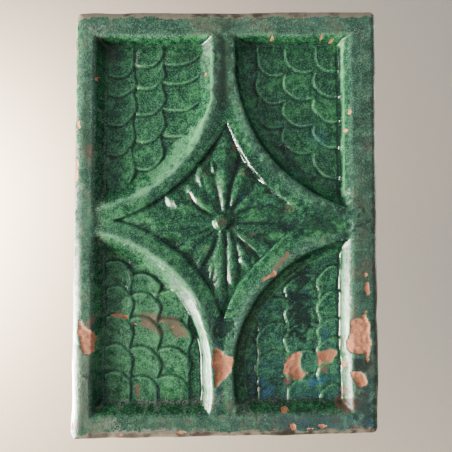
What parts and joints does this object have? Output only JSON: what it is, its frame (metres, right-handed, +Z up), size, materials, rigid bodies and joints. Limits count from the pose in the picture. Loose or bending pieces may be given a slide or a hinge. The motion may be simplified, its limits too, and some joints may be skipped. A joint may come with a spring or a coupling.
{
  "type": "stove tile",
  "caption": "Rectangular relief tile for a tiled stove, with a leaf rosette between panels of scales and a hollow clay collar behind.",
  "frame": {"origin": "the middle of the leaf's flat back face, inside the collar, where the stove's clay packing bears on the tile", "axes": "X to the right as seen from the room, Y into the stove, Z up; the relief faces -Y"},
  "size_m": [0.19, 0.073, 0.265],
  "materials": {
    "glazed_terracotta": null
  },
  "bodies": {
    "root": {"stove_tile": "glazed_terracotta"}
  },
  "joints": []
}
